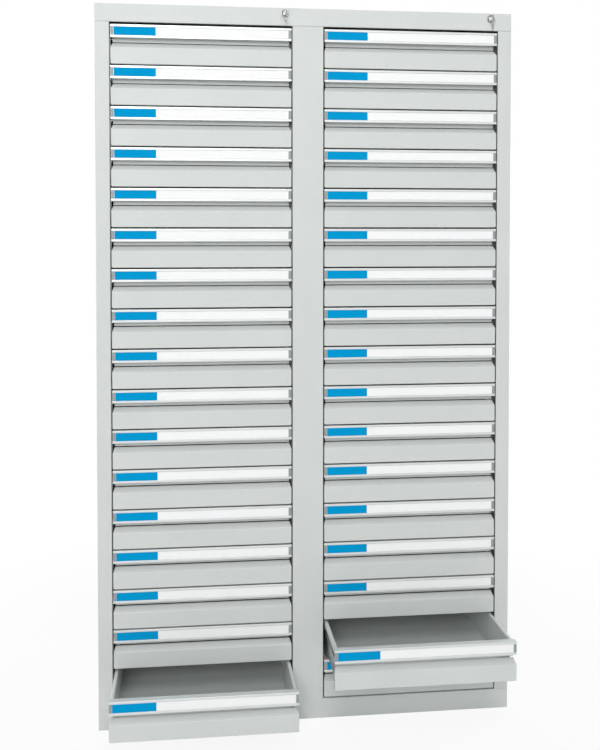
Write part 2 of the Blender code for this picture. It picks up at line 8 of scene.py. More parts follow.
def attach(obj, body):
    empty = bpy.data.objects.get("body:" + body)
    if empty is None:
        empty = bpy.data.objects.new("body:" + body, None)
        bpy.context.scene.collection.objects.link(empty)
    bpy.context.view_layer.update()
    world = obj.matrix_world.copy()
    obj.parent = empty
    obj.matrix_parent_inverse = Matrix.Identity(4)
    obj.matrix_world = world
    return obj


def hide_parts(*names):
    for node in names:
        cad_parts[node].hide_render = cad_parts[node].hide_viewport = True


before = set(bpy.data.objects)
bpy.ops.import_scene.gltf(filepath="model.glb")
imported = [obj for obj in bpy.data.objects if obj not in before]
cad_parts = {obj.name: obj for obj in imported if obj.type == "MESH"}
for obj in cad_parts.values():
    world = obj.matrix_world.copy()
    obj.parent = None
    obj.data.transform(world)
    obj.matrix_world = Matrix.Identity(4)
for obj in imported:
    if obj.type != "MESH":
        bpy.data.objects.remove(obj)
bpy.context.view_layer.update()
print("frame loaded:", len(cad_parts), "parts")

# Lengths are in metres, as in the frame. The fronts face -Y, the floor is at z = 0.
cabinet = {
    "width": 1.050,
    "height": 1.800,
    "depth": 0.600,
    "pillar": 0.035,
    "mullion": 0.078,
    "opening": 0.451,
    "header": 0.044,
    "plinth": 0.050,
    "drawers": 17,
    "pitch": 0.100,
    "gap": 0.0036,  # between two fronts
    "sideGap": 0.0028,
    "sheet": 0.0012,
    "seat": 0.0003,  # between two parts that are screwed together
    "foldRadius": 0.0012,  # at the middle of the sheet
    "foldSteps": 4,
    "pulledOut": {("left", 17): 0.168, ("right", 16): 0.180},
}
frontY = -cabinet["depth"] / 2
headerBottom = cabinet["height"] - cabinet["header"]
frontHeight = cabinet["pitch"] - cabinet["gap"]
frontHalf = cabinet["opening"] / 2 - cabinet["sideGap"]
columnX = (cabinet["mullion"] + cabinet["opening"]) / 2
columns = {"left": -columnX, "right": columnX}


# Shader maths

class Wire:
    # a socket that takes part in sums; numbers go through Math, the rest through Vector Math
    def __init__(self, graph, socket):
        self.graph = graph
        self.socket = socket

    def maths(self, operation, *terms):
        wires = [term for term in terms if isinstance(term, Wire)]
        plain = all(wire.socket.type == "VALUE" for wire in wires)
        plain = plain and not any(isinstance(term, tuple) for term in terms)
        kind = "Math" if plain else "VectorMath"
        return self.graph.node(kind, {"operation": operation}, dict(enumerate(terms)))

    def __add__(self, other):
        return self.maths("ADD", self, other)

    def __radd__(self, other):
        return self.maths("ADD", other, self)

    def __sub__(self, other):
        return self.maths("SUBTRACT", self, other)

    def __rsub__(self, other):
        return self.maths("SUBTRACT", other, self)

    def __mul__(self, other):
        return self.maths("MULTIPLY", self, other)

    def __rmul__(self, other):
        return self.maths("MULTIPLY", other, self)

    def __or__(self, other):  # the larger of the two
        return self.maths("MAXIMUM", self, other)

    def __ror__(self, other):
        return self.maths("MAXIMUM", other, self)


class Graph:
    def __init__(self, tree):
        self.tree = tree

    def feed(self, socket, value):
        if isinstance(value, Wire):
            self.tree.links.new(value.socket, socket)
        elif isinstance(value, (int, float)) and socket.type in ("VECTOR", "RGBA"):
            socket.default_value = [value] * len(socket.default_value)
        elif socket.type == "RGBA" and len(value) == 3:
            socket.default_value = (*value, 1)
        else:
            socket.default_value = value

    def node(self, kind, settings=None, sockets=None, output=0):
        made = self.tree.nodes.new("ShaderNode" + kind)
        for name, value in (settings or {}).items():
            setattr(made, name, value)
        for name, value in (sockets or {}).items():
            self.feed(made.inputs[name], value)
        return Wire(self, made.outputs[output]) if made.outputs else None

    def noise(self, place, scale, detail=2.0):
        return self.node("TexNoise", {}, {"Vector": place, "Scale": scale, "Detail": detail})

    def mix(self, first, second, share):
        return self.node("Mix", {"data_type": "RGBA"}, {0: share, 6: first, 7: second}, 2)

    def between(self, value, low, high, start=0.0):
        ends = {"From Min": low, "From Max": high, "To Min": start, "To Max": 1.0}
        return self.node("MapRange", {"interpolation_type": "SMOOTHSTEP"}, {"Value": value, **ends})


patternShift = 37.0  # the furthest that a piece's random number moves its pattern


class Finish(Graph):
    def __init__(self, name, look):
        self.material = bpy.data.materials.new(name)
        self.material.use_nodes = True
        super().__init__(self.material.node_tree)
        self.shader = self.tree.nodes["Principled BSDF"]
        self.set(look)

    def set(self, look):
        for name, value in look.items():
            self.feed(self.shader.inputs[name], value)

    def place(self, stretch=1.0):
        # the piece's own coordinates, shifted for each piece so that no two show one pattern
        here = self.node("TexCoord", output="Object")
        shift = self.node("ObjectInfo", output="Random") * patternShift
        return here * stretch + shift

    def bump(self, height, depth, strength=1.0, under=None):
        sockets = {"Height": height, "Distance": depth, "Strength": strength}
        if under:
            sockets["Normal"] = under
        return self.node("Bump", {}, sockets)


# Finishes

powderLook = {
    "colour": (0.684, 0.713, 0.695),
    "shade": (0.647, 0.677, 0.662),
    "cloudScale": 7.0,
    "cloudShare": 0.4,
    "speckScale": 260.0,
    "speckShare": 0.6,
    "detail": 3.0,
    "contrast": (0.3, 0.7),
    "specular": 0.3,
    "coat": 0.04,
    "coatRoughness": 0.3,
    "roughness": 0.48,
    "roughnessScale": 48.0,
    "roughnessSpread": 0.16,
    "peelScale": 520.0,  # the fine orange peel of baked powder
    "peelDepth": 0.00006,
    "peelStrength": 0.8,
    "wavinessScale": 34.0,
    "wavinessDepth": 0.00008,
}


def powderCoat(name):
    look = powderLook
    made = Finish(name, {
        "Specular IOR Level": look["specular"],
        "Coat Weight": look["coat"],
        "Coat Roughness": look["coatRoughness"],
    })
    place = made.place()
    cloud = made.noise(place, look["cloudScale"], look["detail"])
    speck = made.noise(place, look["speckScale"], look["detail"])
    share = made.between(cloud * look["cloudShare"] + speck * look["speckShare"], *look["contrast"])
    made.set({"Base Color": made.mix(look["colour"], look["shade"], share)})
    uneven = made.noise(place, look["roughnessScale"]) - 0.5
    made.set({"Roughness": look["roughness"] + uneven * look["roughnessSpread"]})
    waves = made.bump(made.noise(place, look["wavinessScale"]), look["wavinessDepth"])
    peel = made.noise(place, look["peelScale"], look["detail"])
    made.set({"Normal": made.bump(peel, look["peelDepth"], look["peelStrength"], waves)})
    return made.material


railLook = {
    "colour": (0.735, 0.758, 0.755),
    "shade": (0.650, 0.678, 0.676),
    "cloudScale": 14.0,
    "cloudShare": 0.3,
    "brushShare": 0.7,
    "contrast": (0.35, 0.7),
    "metallic": 0.35,
    "roughness": 0.34,
    "roughnessSpread": 0.22,
    "brushing": (3.0, 900.0, 900.0),  # long along the rail
    "brushDetail": 3.0,
    "brushDepth": 0.00003,
    "brushStrength": 0.7,
}


def railAluminium():
    look = railLook
    made = Finish("railAluminium", {"Metallic": look["metallic"]})
    brushed = made.noise(made.place(look["brushing"]), 1.0, look["brushDetail"])
    cloud = made.noise(made.place(), look["cloudScale"])
    share = made.between(brushed * look["brushShare"] + cloud * look["cloudShare"], *look["contrast"])
    made.set({
        "Base Color": made.mix(look["colour"], look["shade"], share),
        "Roughness": look["roughness"] + (brushed - 0.5) * look["roughnessSpread"],
        "Normal": made.bump(brushed, look["brushDepth"], look["brushStrength"]),
    })
    return made.material


paperLook = {
    "white": ((0.975, 0.978, 0.980), (0.940, 0.944, 0.946)),  # colour and shade
    "blue": ((0.003, 0.338, 0.676), (0.002, 0.312, 0.635)),
    "fibre": (240.0, 900.0, 1500.0),  # longest along the label
    "fibreDetail": 3.0,
    "fibreDepth": 0.00002,
    "contrast": (0.3, 0.8),
    "cockleScale": 30.0,
    "cockleDetail": 1.0,
    "cockleDepth": 0.00012,
    "roughness": 0.62,
    "roughnessSpread": 0.2,
}


def labelPaper(name, colour, shade):
    # printed card: a faint fibre and a slight cockle
    look = paperLook
    made = Finish(name, {"Specular IOR Level": 0.0})
    fibre = made.noise(made.place(look["fibre"]), 1.0, look["fibreDetail"])
    cockle = made.noise(made.place(), look["cockleScale"], look["cockleDetail"])
    under = made.bump(fibre, look["fibreDepth"])
    made.set({
        "Base Color": made.mix(colour, shade, made.between(fibre, *look["contrast"])),
        "Roughness": look["roughness"] + (fibre - 0.5) * look["roughnessSpread"],
        "Normal": made.bump(cockle, look["cockleDepth"], 1.0, under),
    })
    return made.material


capLook = {
    "colour": (0.339, 0.373, 0.380),
    "shade": (0.276, 0.307, 0.313),
    "grainScale": 1400.0,
    "grainDetail": 3.0,
    "grainDepth": 0.00004,
    "contrast": (0.3, 0.7),
    "roughness": 0.5,
    "roughnessSpread": 0.3,
}


def capPlastic():
    look = capLook
    made = Finish("capPlastic", {})
    grain = made.noise(made.place(), look["grainScale"], look["grainDetail"])
    share = made.between(grain, *look["contrast"])
    made.set({
        "Base Color": made.mix(look["colour"], look["shade"], share),
        "Roughness": look["roughness"] + (grain - 0.5) * look["roughnessSpread"],
        "Normal": made.bump(grain, look["grainDepth"]),
    })
    return made.material


zincLook = {
    "bright": ((0.560, 0.575, 0.580), (0.450, 0.465, 0.475), 0.30),  # colour, shade, roughness
    # the lock bars' zinc, darkened well below plain plating as painted shade, so that the gaps in front of
    # them read black
    "paintedShade": ((0.170, 0.175, 0.180), (0.120, 0.124, 0.128), 0.42),
    "spangleScale": 160.0,
    "spangleShare": 0.55,
    "rolling": (4.0, 30.0, 900.0),  # marks along the sheet
    "rollingShare": 0.45,
    "rollingDepth": 0.00002,
    "rollingStrength": 0.6,
    "spangleRoughness": 0.1,
    "rollingRoughness": 0.12,
}


def zincSteel(name, colour, shade, roughness):
    # zinc plate with soft spangles and fine rolling marks
    look = zincLook
    made = Finish(name, {"Metallic": 1.0})
    place = made.place()
    spangle = made.node("TexVoronoi", {}, {"Vector": place, "Scale": look["spangleScale"]}, "Color")
    tone = made.node("SeparateColor", {}, {"Color": spangle})
    rolled = made.noise(made.place(look["rolling"]), 1.0)
    share = tone * look["spangleShare"] + rolled * look["rollingShare"]
    made.set({
        "Base Color": made.mix(colour, shade, share),
        "Roughness": roughness + tone * look["spangleRoughness"] + rolled * look["rollingRoughness"],
        "Normal": made.bump(rolled, look["rollingDepth"], look["rollingStrength"]),
    })
    return made.material


platedLook = {
    "chrome": ((0.330, 0.340, 0.345), (0.260, 0.268, 0.272), 0.22),  # colour, shade, roughness
    "nickel": ((0.400, 0.390, 0.368), (0.310, 0.300, 0.282), 0.28),
    "scratches": (300.0, 2600.0, 900.0),
    "scratchDetail": 4.0,
    "scratchDepth": 0.00001,
    "scratchStrength": 0.5,
    "scratchRoughness": 0.12,
    "hazeScale": 420.0,
    "hazeContrast": (0.35, 0.75),
    "hazeRoughness": 0.08,
}


def platedMetal(name, colour, shade, roughness):
    # bright plated metal: fine scratches and a faint haze
    look = platedLook
    made = Finish(name, {"Metallic": 1.0})
    scratch = made.noise(made.place(look["scratches"]), 1.0, look["scratchDetail"])
    haze = made.noise(made.place(), look["hazeScale"])
    uneven = (scratch - 0.5) * look["scratchRoughness"] + (haze - 0.5) * look["hazeRoughness"]
    made.set({
        "Base Color": made.mix(colour, shade, made.between(haze, *look["hazeContrast"])),
        "Roughness": roughness + uneven,
        "Normal": made.bump(scratch, look["scratchDepth"], look["scratchStrength"]),
    })
    return made.material


carcassPaint = powderCoat("carcassPaint")
drawerPaint = powderCoat("drawerPaint")
railMetal = railAluminium()
labelWhite = labelPaper("labelWhite", *paperLook["white"])
labelBlue = labelPaper("labelBlue", *paperLook["blue"])
capGrey = capPlastic()
zinc = zincSteel("zincSteel", *zincLook["bright"])
# the lock bars' zinc: darkened as painted shade for the gaps in front of them
paintedShadeZinc = zincSteel("paintedShadeZinc", *zincLook["paintedShade"])
lockChrome = platedMetal("lockChrome", *platedLook["chrome"])
keyNickel = platedMetal("keyNickel", *platedLook["nickel"])
print("finishes made")


# Meshes

def meshFrom(work):
    mesh = bpy.data.meshes.new("form")
    work.to_mesh(mesh)
    work.free()
    return mesh


def linked(name, data):
    made = bpy.data.objects.new(name, data)
    bpy.context.scene.collection.objects.link(made)
    return made


def meshOf(guide):
    # the mesh that a guide object shows; the guide itself goes
    shown = guide.evaluated_get(bpy.context.evaluated_depsgraph_get())
    made = bpy.data.meshes.new_from_object(shown)
    bpy.data.objects.remove(guide)
    return made


def applied(mesh, *changes):
    # the mesh after its modifiers, each given as a type and its settings
    guide = linked("guide", mesh)
    for kind, settings in changes:
        change = guide.modifiers.new(kind.lower(), kind)
        for name, value in settings.items():
            setattr(change, name, value)
    return meshOf(guide)


def cutOut(mesh, tool):
    # the mesh without what the tool's mesh takes up
    drill = linked("drill", tool)
    made = applied(mesh, ("BOOLEAN", {"operation": "DIFFERENCE", "object": drill, "solver": "EXACT"}))
    bpy.data.objects.remove(drill)
    return made


def grown(work, edges):
    # new edges drawn out of open ones; gives their corners
    made = bmesh.ops.extrude_edge_only(work, edges=edges)["geom"]
    return [item for item in made if isinstance(item, bmesh.types.BMVert)]


bevelAngle = math.radians(25.0)


def bevelled(width, segments=3):
    return "BEVEL", {
        "width": width, "segments": segments, "limit_method": "ANGLE", "angle_limit": bevelAngle,
    }


cutEdge = bevelled(0.0003, 2)  # the eased edge of cut metal
cutOver = 0.002  # by which a cutting mesh stands out of what it cuts


def sheetMetal(work, thickness, fold):
    # an open surface becomes folded sheet: its edges rounded, its thickness on the inner side
    thicken = {"thickness": thickness, "offset": -1, "use_even_offset": True, "use_quality_normals": True}
    return applied(meshFrom(work), bevelled(fold), ("SOLIDIFY", thicken))


def gathered(*parts):
    # several meshes in one, each with the place of its material
    work = bmesh.new()
    for slot, mesh in parts:
        start = len(work.faces)
        work.from_mesh(mesh)
        work.faces.ensure_lookup_table()
        for face in work.faces[start:]:
            face.material_index = slot
    return meshFrom(work)


smoothAngle = math.radians(38)


def placed(name, mesh, finishes, body, replaced, at=(0, 0, 0)):
    if not mesh.materials:  # a mesh that many pieces share is finished once
        for finish in finishes:
            mesh.materials.append(finish)
        mesh.shade_smooth()
        mesh.set_sharp_from_angle(angle=smoothAngle)
        mesh.name = name
    made = linked(name, mesh)
    made.location = at
    normals = made.modifiers.new("normals", "WEIGHTED_NORMAL")
    normals.keep_sharp = True
    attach(made, body)
    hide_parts(*replaced)


def roundedCorners(corners, radii, steps=3):
    # a closed outline with an arc in place of each corner
    points = []
    count = len(corners)
    for place in range(count):
        here = Vector(corners[place])
        before = (here - Vector(corners[place - 1])).normalized()
        after = (Vector(corners[(place + 1) % count]) - here).normalized()
        radius = radii[place]
        turn = before.angle_signed(after)
        if not radius:
            points.append(here)
            continue
        side = math.copysign(1, turn)  # angle_signed is clockwise
        reach = radius * math.tan(abs(turn) / 2)
        start = here - before * reach
        centre = start + Vector((before.y, -before.x)) * side * radius
        arm = start - centre
        for step in range(steps + 1):
            spin = Matrix.Rotation(-turn * step / steps, 2)
            points.append(centre + spin @ arm)
    return points


# outlines are (Y, Z) along X, (X, Z) along Y and (X, Y) along Z
axes = {
    "X": Matrix(((0, 0, 1), (1, 0, 0), (0, 1, 0))),
    "Y": Matrix(((1, 0, 0), (0, 0, 1), (0, 1, 0))),
    "Z": Matrix.Identity(3),
}


def extruded(axis, start, end, outline):
    work = bmesh.new()
    rings = []
    for along in (start, end):
        rings.append([work.verts.new(axes[axis] @ Vector((*point, along))) for point in outline])
    near, far = rings
    count = len(outline)
    for place in range(count):
        after = (place + 1) % count
        work.faces.new((near[place], near[after], far[after], far[place]))
    for loop in rings:
        work.faces.new(loop)
    bmesh.ops.recalc_face_normals(work, faces=work.faces)
    return meshFrom(work)


def foldedStrip(axis, start, end, path, thickness, radius, steps):
    # sheet folded along a path through the middle of its thickness
    rounded = roundedPath(path, radius, steps)
    work = bmesh.new()
    rows = []
    for point, normal in rounded:
        edge = []
        for side in (0.5, -0.5):
            spot = point + normal * thickness * side
            for along in (start, end):
                edge.append(work.verts.new(axes[axis] @ Vector((*spot, along))))
        rows.append(edge)
    for (a, b, c, d), (e, f, g, h) in zip(rows, rows[1:]):
        for corners in ((a, b, f, e), (c, d, h, g), (a, c, g, e), (b, d, h, f)):
            work.faces.new(corners)
    for a, b, c, d in (rows[0], rows[-1]):
        work.faces.new((a, b, d, c))
    bmesh.ops.recalc_face_normals(work, faces=work.faces)
    return meshFrom(work)


def roundedPath(corners, radius, steps):
    # points of an open path with rounded corners, each with its normal
    corners = [Vector(corner) for corner in corners]
    heading = [(after - before).normalized() for before, after in zip(corners, corners[1:])]
    normals = [Vector((way.y, -way.x)) for way in heading]
    points = [(corners[0], normals[0])]
    for place in range(1, len(corners) - 1):
        turn = heading[place - 1].angle_signed(heading[place])
        side = math.copysign(1, turn)
        start = corners[place] - heading[place - 1] * radius * math.tan(abs(turn) / 2)
        centre = start + normals[place - 1] * side * radius
        for step in range(steps + 1):
            normal = Matrix.Rotation(-turn * step / steps, 2) @ normals[place - 1]
            points.append((centre - side * radius * normal, normal))
    points.append((corners[-1], normals[-1]))
    return points


def boxSurface(low, high):
    work = bmesh.new()
    bmesh.ops.create_cube(work, size=1)
    low, high = Vector(low), Vector(high)
    bmesh.ops.scale(work, vec=high - low, verts=work.verts)
    bmesh.ops.translate(work, vec=(high + low) / 2, verts=work.verts)
    return work


def turned(profile, steps):
    # a profile of (radius, depth) turned about the Y axis
    work = bmesh.new()
    rings = []
    for step in range(steps):
        angle = math.tau * step / steps
        spot = Vector((math.cos(angle), 0, math.sin(angle)))
        rings.append([work.verts.new(spot * radius + Vector((0, depth, 0))) for radius, depth in profile])
    count = len(profile)
    for step in range(steps):
        near, far = rings[step], rings[(step + 1) % steps]
        for place in range(count):
            after = (place + 1) % count
            work.faces.new((near[place], near[after], far[after], far[place]))
    bmesh.ops.remove_doubles(work, verts=work.verts, dist=1e-7)
    bmesh.ops.recalc_face_normals(work, faces=work.faces)
    return meshFrom(work)


def stamped(thickness, edge, *loops):
    # a flat outline with holes, cut from plate with eased edges; it lies in the (Y, Z) plane
    curve = bpy.data.curves.new("blank", "CURVE")
    curve.dimensions = "2D"
    curve.fill_mode = "BOTH"
    curve.extrude = thickness / 2 - edge
    curve.bevel_depth = edge
    curve.bevel_resolution = 1
    curve.offset = -edge
    for loop in loops:
        spline = curve.splines.new("POLY")
        spline.points.add(len(loop) - 1)
        for point, (across, up) in zip(spline.points, loop):
            point.co = (across, up, 0, 1)
        spline.use_cyclic_u = True
    work = bmesh.new()
    work.from_mesh(meshOf(linked("blank", curve)))
    bmesh.ops.remove_doubles(work, verts=work.verts, dist=1e-6)
    bmesh.ops.transform(work, matrix=axes["X"].to_4x4(), verts=work.verts)
    bmesh.ops.recalc_face_normals(work, faces=work.faces)
    return meshFrom(work)


def circle(radius, centre, steps):
    turns = [math.tau * step / steps for step in range(steps)]
    return [(centre[0] + radius * math.cos(turn), centre[1] + radius * math.sin(turn)) for turn in turns]


def strip(axis, start, end, path):
    sheet, radius, steps = cabinet["sheet"], cabinet["foldRadius"], cabinet["foldSteps"]
    return foldedStrip(axis, start, end, path, sheet, radius, steps)


# Carcass

sidePanel = {"rearFlange": 0.035}
post = {"hem": 0.003, "joggle": 0.006, "return": 0.0257}  # behind the face, where a post meets the opening


def postReturn(edge, inward):
    # the fold at a post's edge: a short hem, a joggle away from the fronts, then the return
    away = edge + inward * post["joggle"]
    return [(away, post["return"]), (away, post["hem"] + post["joggle"]), (edge, post["hem"])]


def buildSidePanel(hand, side):
    half = cabinet["sheet"] / 2
    wall = cabinet["width"] / 2 - half
    edge = cabinet["width"] / 2 - cabinet["pillar"] + half
    rear = cabinet["depth"] - half
    path = postReturn(edge, 1) + [
        (edge, half), (wall, half), (wall, rear), (cabinet["width"] / 2 - sidePanel["rearFlange"], rear)]
    path = [(side * across, frontY + back) for across, back in path]
    low, high = cabinet["plinth"] + cabinet["seat"], headerBottom - cabinet["seat"]
    sheet = strip("Z", low, high, path)
    placed("side_sheet_" + hand, sheet, [carcassPaint], "carcass", ["side_panel_" + hand])


partition = {"rearFlange": 0.020}


def buildPartition():
    sheet = cabinet["sheet"]
    edge = cabinet["mullion"] / 2 - sheet / 2
    rear = cabinet["depth"] - 2 * sheet - 2 * cabinet["seat"] - sheet / 2
    channel = postReturn(edge, -1) + [(edge, sheet / 2), (-edge, sheet / 2)] + postReturn(-edge, 1)[::-1]
    web = [(0, sheet), (0, rear), (partition["rearFlange"], rear)]
    flange = [(-sheet / 2, rear), (-partition["rearFlange"], rear)]
    low, high = cabinet["plinth"] + cabinet["seat"], headerBottom - cabinet["seat"]
    parts = []
    for path in (channel, web, flange):
        moved = [(across, frontY + back) for across, back in path]
        parts.append((0, strip("Z", low, high, moved)))
    sheets = gathered(*parts)
    placed("centre_partition_sheet", sheets, [carcassPaint], "carcass", ["centre_partition"])


backPanel = {
    "rivets": 12,  # into the partition's rear flange
    "firstRivet": 0.09,
    "rivetAcross": 0.010,
    "rivetRadius": 0.0032,
    "rivetHeight": 0.0010,
}
dome = {"rows": 4, "steps": 20}  # of a rivet's head


def rivetHead(radius, height):
    # a low dome that faces +Y
    profile = [(0, 0)]
    for row in range(dome["rows"] + 1):
        angle = math.pi / 2 * row / dome["rows"]
        profile.append((radius * math.cos(angle), height * math.sin(angle)))
    return turned(profile, dome["steps"])


def buildBackPanel():
    sheet = cabinet["sheet"]
    half = cabinet["width"] / 2 - sheet - cabinet["seat"]
    back = frontY + cabinet["depth"] - sheet - cabinet["seat"]
    low, high = cabinet["plinth"] + cabinet["seat"], headerBottom - cabinet["seat"]
    work = boxSurface((-half, back - sheet, low), (half, back, high))
    parts = [(0, applied(meshFrom(work), cutEdge))]
    first = cabinet["plinth"] + backPanel["firstRivet"]
    span = headerBottom - cabinet["plinth"] - 2 * backPanel["firstRivet"]
    for place in range(backPanel["rivets"]):
        height = first + span * place / (backPanel["rivets"] - 1)
        head = rivetHead(backPanel["rivetRadius"], backPanel["rivetHeight"])
        head.transform(Matrix.Translation((backPanel["rivetAcross"], back, height)))
        parts.append((1, head))
    finishes = [carcassPaint, zinc]
    placed("back_sheet", gathered(*parts), finishes, "carcass", ["back_panel"])


pan = {
    "headerFlange": 0.006,
    "plinthFlange": 0.020,
    "fold": 0.0017,
    "lockHole": 0.0095,
    "holeSteps": 40,
}


def panSurface(low, high, flange):
    # a full top, four skirts and an inward flange round the open underside
    work = boxSurface(low, high)
    under = min(work.faces, key=lambda face: face.calc_center_median().z)
    bmesh.ops.inset_region(work, faces=[under], thickness=flange)
    bmesh.ops.delete(work, geom=[under], context="FACES")
    return sheetMetal(work, cabinet["sheet"], pan["fold"])


def buildTopPanel():
    half = cabinet["width"] / 2
    low, high = (-half, frontY, headerBottom), (half, -frontY, cabinet["height"])
    mesh = panSurface(low, high, pan["headerFlange"])
    drills = []
    for across in columns.values():
        hole = circle(pan["lockHole"], (across + lock["across"], lock["height"]), pan["holeSteps"])
        drills.append((0, extruded("Y", frontY - cutOver, frontY + 2 * cutOver, hole)))
    mesh = cutOut(mesh, gathered(*drills))
    placed("top_pan", mesh, [carcassPaint], "carcass", ["top_panel"])


floorRail = {"width": 0.060, "setback": 0.010}


def buildPlinth():
    wide = cabinet["width"] / 2
    pans = panSurface((-wide, frontY, 0), (wide, -frontY, cabinet["plinth"]), pan["plinthFlange"])
    half = cabinet["sheet"] / 2
    edge = floorRail["width"] / 2 - half
    top = cabinet["plinth"] - cabinet["sheet"]
    reach = -frontY - floorRail["setback"]
    channel = strip("Y", -reach, reach, [(-edge, top), (-edge, half), (edge, half), (edge, top)])
    mesh = gathered((0, pans), (0, channel))
    placed("plinth_pan", mesh, [carcassPaint], "carcass", ["base_plinth"])


# Drawers, each drawn from its column's middle, the front face and its lower edge

drawerFront = {
    "face": 0.0405,
    "chamfer": 0.013,
    "recess": 0.017,
    "recessSide": 0.0042,  # by which the recess wall is narrower than the face at each end
    "bottomReturn": 0.010,
    "crease": 0.0012,  # between the lower panel's rear lip and the recess wall
    "creaseRise": 0.0013,  # from the lower panel's rear lip up to the recess wall
    "lip": 0.006,
    "corner": 0.0035,
    "cornerSteps": 5,
    "fold": 0.0016,
}


def lowerPanelMesh():
    # the pressed lower panel: face with rounded lower corners, tapered chamfer, folded edges
    ledge = drawerFront["face"] + drawerFront["chamfer"]
    narrow = frontHalf - drawerFront["recessSide"]
    inner = drawerFront["recess"] - drawerFront["crease"]
    corner = drawerFront["corner"]
    work = bmesh.new()
    top = drawerFront["face"]
    outline = [(-frontHalf, 0), (frontHalf, 0), (frontHalf, top), (-frontHalf, top)]
    rounded = roundedCorners(outline, (corner, corner, 0, 0), drawerFront["cornerSteps"])
    face = work.faces.new([work.verts.new((across, 0, up)) for across, up in rounded])
    crown = max(work.edges, key=lambda edge: sum(vert.co.z for vert in edge.verts))
    sides = list(crown.verts)
    skirts = grown(work, [edge for edge in work.edges if edge is not crown])
    for vert in skirts:
        rise = min(1, vert.co.z / corner)
        vert.co.y = drawerFront["bottomReturn"] + (inner - drawerFront["bottomReturn"]) * rise
    rear = grown(work, [crown])
    for vert in rear:
        vert.co = (math.copysign(narrow, vert.co.x), inner, ledge)
    for near in sides:
        trio = [near]
        for verts in (skirts, rear):
            trio.append(min(verts, key=lambda vert: (vert.co - near.co - Vector((0, inner, 0))).length))
        work.faces.new(trio)
    lip = next(edge for edge in work.edges if set(edge.verts) == set(rear))
    for vert in grown(work, [lip]):
        vert.co.z -= drawerFront["lip"]
    bmesh.ops.recalc_face_normals(work, faces=work.faces)
    if face.normal.y > 0:
        bmesh.ops.reverse_faces(work, faces=work.faces)
    return sheetMetal(work, cabinet["sheet"], drawerFront["fold"])


def frontMesh():
    # the lower panel, and above and behind it the flat wall that hangs on the rail and the tray
    half = frontHalf - drawerFront["recessSide"]
    near, far = drawerFront["recess"], drawerFront["recess"] + cabinet["sheet"]
    low = drawerFront["face"] + drawerFront["chamfer"] + drawerFront["creaseRise"]
    wall = boxSurface((-half, near, low), (half, far, frontHeight - gripRail["web"] - cabinet["seat"]))
    return gathered((0, lowerPanelMesh()), (0, applied(meshFrom(wall), cutEdge)))


gripRail = {
    "height": 0.032,
    "lip": 0.0057,
    "wall": 0.0032,
    "web": 0.0015,
    "channel": 0.0018,
    "depth": 0.0182,
    "edges": (0.0008, 0.0006, 0.0003, 0.0003, 0.0006, 0.0008, 0.0004, 0.0004, 0.0012, 0.0008),
    "capWidth": 0.0075,
    "capSetback": 0.0006,
    "capPlay": 0.0004,
    "capEdge": 0.0004,
}
railBottom = frontHeight - gripRail["height"]


def railMesh():
    low, high = railBottom + gripRail["lip"], frontHeight - gripRail["lip"]
    under = frontHeight - gripRail["web"]
    channel, wall, depth = gripRail["channel"], gripRail["wall"], gripRail["depth"]
    corners = [
        (0, railBottom), (0, low), (channel, low), (channel, high), (0, high), (0, frontHeight),
        (depth, frontHeight), (depth, under), (wall, under), (wall, railBottom),
    ]
    rail = extruded("X", -frontHalf, frontHalf, roundedCorners(corners, gripRail["edges"]))
    parts = [(0, rail)]
    for side in (-1, 1):
        outer = side * frontHalf
        inner = side * (frontHalf - gripRail["capWidth"])
        play = gripRail["capPlay"]
        work = boxSurface(
            (min(inner, outer) + play, gripRail["capSetback"], low + play),
            (max(inner, outer) - play, channel + play, high - play))
        parts.append((1, applied(meshFrom(work), bevelled(gripRail["capEdge"], 2))))
    return gathered(*parts)


label = {"thickness": 0.0008, "blueLength": 0.102, "play": 0.0003, "edge": 0.00015}


def labelMesh():
    half = frontHalf - gripRail["capWidth"] - label["play"]
    back = gripRail["channel"] - label["play"]
    low = railBottom + gripRail["lip"] + label["play"]
    high = frontHeight - gripRail["lip"] - label["play"]
    seam = -half + label["blueLength"]
    parts = []
    for slot, start, end in ((0, seam, half), (1, -half, seam)):
        work = boxSurface((start, back - label["thickness"], low), (end, back, high))
        parts.append((slot, applied(meshFrom(work), bevelled(label["edge"], 1))))
    return gathered(*parts)


tray = {
    "front": 0.0185,
    "frontTop": 0.0500,  # behind the lower panel; the recess wall closes the tray above
    "floor": 0.010,
    "top": 0.0928,
    "length": 0.540,
    "half": 0.2125,
    "sheet": 0.001,
    "wallGap": 0.0001,  # between the shell and its front wall
    "flange": 0.008,
    "lip": 0.012,
    "fold": 0.0016,
}
slide = {
    "bottom": 0.0215,
    "top": 0.0635,
    "sheet": 0.0012,
    "tip": 0.2192,
    "setback": 0.038,
    "length": 0.490,
    "fold": 0.0015,
    "foldSteps": 3,
    "rivets": (0.03, 0.16, 0.32, 0.46),  # along the slide
    "rivetRadius": 0.0035,
    "rivetHeight": 0.0012,
}
stud = {
    "radius": 0.003,
    "height": 0.073,
    "setback": 0.0325,
    "end": 0.2245,
    "edge": 0.0004,
    "steps": 20,
}


def trayShell():
    low = (-tray["half"], tray["front"] + tray["sheet"] + tray["wallGap"], tray["floor"])
    work = boxSurface(low, (tray["half"], tray["front"] + tray["length"], tray["top"] - tray["sheet"]))
    lid = max(work.faces, key=lambda face: face.calc_center_median().z)
    front = min(work.faces, key=lambda face: face.calc_center_median().y)
    bmesh.ops.delete(work, geom=[lid, front], context="FACES_ONLY")
    rims = [edge for edge in work.edges if edge.is_boundary]
    for side in (-1, 1):
        rim = max(rims, key=lambda edge: sum(side * vert.co.x + vert.co.z for vert in edge.verts))
        for step in ((side * (tray["flange"] - tray["sheet"]), 0, 0), (0, 0, tray["sheet"] - tray["lip"])):
            corners = grown(work, [rim])
            bmesh.ops.translate(work, vec=step, verts=corners)
            rim = next(edge for edge in work.edges if set(edge.verts) == set(corners))
    return sheetMetal(work, tray["sheet"], tray["fold"])


